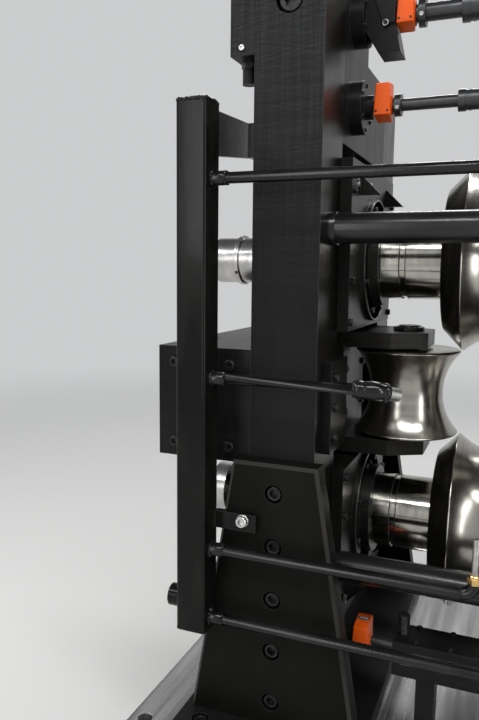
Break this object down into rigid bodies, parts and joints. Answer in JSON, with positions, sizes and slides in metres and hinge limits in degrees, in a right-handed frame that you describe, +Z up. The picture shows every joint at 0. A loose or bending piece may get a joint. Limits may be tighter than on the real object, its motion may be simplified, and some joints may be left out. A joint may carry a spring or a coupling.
{
  "type": "rolling mill stand",
  "caption": "Upright four-roll pipe mill stand with grooved horizontal and side rolls in adjustable chocks and slides, screwdown shafts, readouts and coolant header.",
  "frame": {"origin": "on the floor, under the middle of the roll pass", "axes": "+Z up; +X along the roll shafts from the drive side to the operator side; +Y along the mill line from the entry side, which the picture shows, to the exit side"},
  "size_m": [1.15, 0.79, 1.3],
  "materials": {
    "machined_steel": "milled",
    "black_foot_steel": "satin",
    "blackened_steel": "satin",
    "housing_black": "satin",
    "roll_steel": "ground",
    "shaft_steel": "turned",
    "bright_steel": "turned",
    "orange_plastic": "moulded",
    "gloss_black_paint": "gloss",
    "black_pipe": "rough",
    "brass": "turned"
  },
  "bodies": {
    "stand_frame": {"bed_plate": "machined_steel", "sole_plates": "black_foot_steel", "column_drive_entry": "blackened_steel", "column_drive_exit": "blackened_steel", "column_operator_entry": "blackened_steel", "column_operator_exit": "blackened_steel", "foot_drive_entry": "black_foot_steel", "foot_drive_exit": "black_foot_steel", "foot_operator_entry": "black_foot_steel", "foot_operator_exit": "black_foot_steel", "crosshead_drive": "housing_black", "crosshead_operator": "housing_black", "base_block_drive": "black_foot_steel", "base_block_operator": "black_foot_steel", "side_housing_drive": "housing_black", "side_housing_operator": "housing_black", "side_guides": "machined_steel", "tie_bars": "blackened_steel", "lower_gear_unit": "housing_black", "position_readouts": "orange_plastic", "header_post": "gloss_black_paint", "header_brackets": "gloss_black_paint", "coolant_pipes": "black_pipe", "brass_riser": "brass"},
    "top_saddle": {"top_chock_drive": "housing_black", "top_chock_operator": "housing_black", "screw_spindles": "machined_steel"},
    "bottom_saddle": {"bottom_chock_drive": "housing_black", "bottom_chock_operator": "housing_black", "jack_spindles": "machined_steel"},
    "top_roll_set": {"top_shaft": "shaft_steel", "top_roll": "roll_steel", "top_spacers": "bright_steel"},
    "bottom_roll_set": {"bottom_shaft": "shaft_steel", "bottom_roll": "roll_steel", "bottom_spacers": "bright_steel"},
    "drive_side_slide": {"yoke_drive": "housing_black", "side_axle_drive": "machined_steel"},
    "operator_side_slide": {"yoke_operator": "housing_black", "side_axle_operator": "machined_steel"},
    "drive_side_roll": {"side_roll_drive": "roll_steel"},
    "operator_side_roll": {"side_roll_operator": "roll_steel"},
    "upper_adjuster": {"upper_adjusting_shaft": "shaft_steel"},
    "top_adjuster": {"top_adjusting_shaft": "shaft_steel"},
    "lower_adjuster": {"lower_adjusting_shaft": "shaft_steel"}
  },
  "joints": [
    {"name": "top_saddle_lift", "type": "slide", "parent": "stand_frame", "child": "top_saddle", "axis": [0, 0, 1], "range_m": [0, 0.02]},
    {"name": "bottom_saddle_drop", "type": "slide", "parent": "stand_frame", "child": "bottom_saddle", "axis": [0, 0, -1], "range_m": [0, 0.02]},
    {"name": "top_roll_spin", "type": "hinge", "parent": "top_saddle", "child": "top_roll_set", "pos_m": [0, 0, 0.841], "axis": [1, 0, 0], "continuous": true},
    {"name": "bottom_roll_spin", "type": "hinge", "parent": "bottom_saddle", "child": "bottom_roll_set", "pos_m": [0, 0, 0.359], "axis": [1, 0, 0], "continuous": true},
    {"name": "drive_side_slide_out", "type": "slide", "parent": "stand_frame", "child": "drive_side_slide", "axis": [-1, 0, 0], "range_m": [0, 0.025]},
    {"name": "operator_side_slide_out", "type": "slide", "parent": "stand_frame", "child": "operator_side_slide", "axis": [1, 0, 0], "range_m": [0, 0.025]},
    {"name": "drive_side_roll_spin", "type": "hinge", "parent": "drive_side_slide", "child": "drive_side_roll", "pos_m": [-0.176, 0, 0.6], "axis": [0, 0, 1], "continuous": true},
    {"name": "operator_side_roll_spin", "type": "hinge", "parent": "operator_side_slide", "child": "operator_side_roll", "pos_m": [0.176, 0, 0.6], "axis": [0, 0, 1], "continuous": true},
    {"name": "upper_adjuster_turn", "type": "hinge", "parent": "stand_frame", "child": "upper_adjuster", "pos_m": [0, -0.11, 1.097], "axis": [1, 0, 0], "range_deg": [-1, 601]},
    {"name": "top_adjuster_turn", "type": "hinge", "parent": "stand_frame", "child": "top_adjuster", "pos_m": [0, -0.11, 1.239], "axis": [1, 0, 0], "range_deg": [-1, 601]},
    {"name": "lower_adjuster_turn", "type": "hinge", "parent": "stand_frame", "child": "lower_adjuster", "pos_m": [0, -0.205, 0.195], "axis": [1, 0, 0], "range_deg": [-1, 601]}
  ],
  "couplings": [
    {"joint": "upper_adjuster_turn", "follows": "top_saddle_lift", "rad_per_m": 523.6},
    {"joint": "top_adjuster_turn", "follows": "top_saddle_lift", "rad_per_m": 523.6},
    {"joint": "lower_adjuster_turn", "follows": "bottom_saddle_drop", "rad_per_m": 523.6}
  ]
}
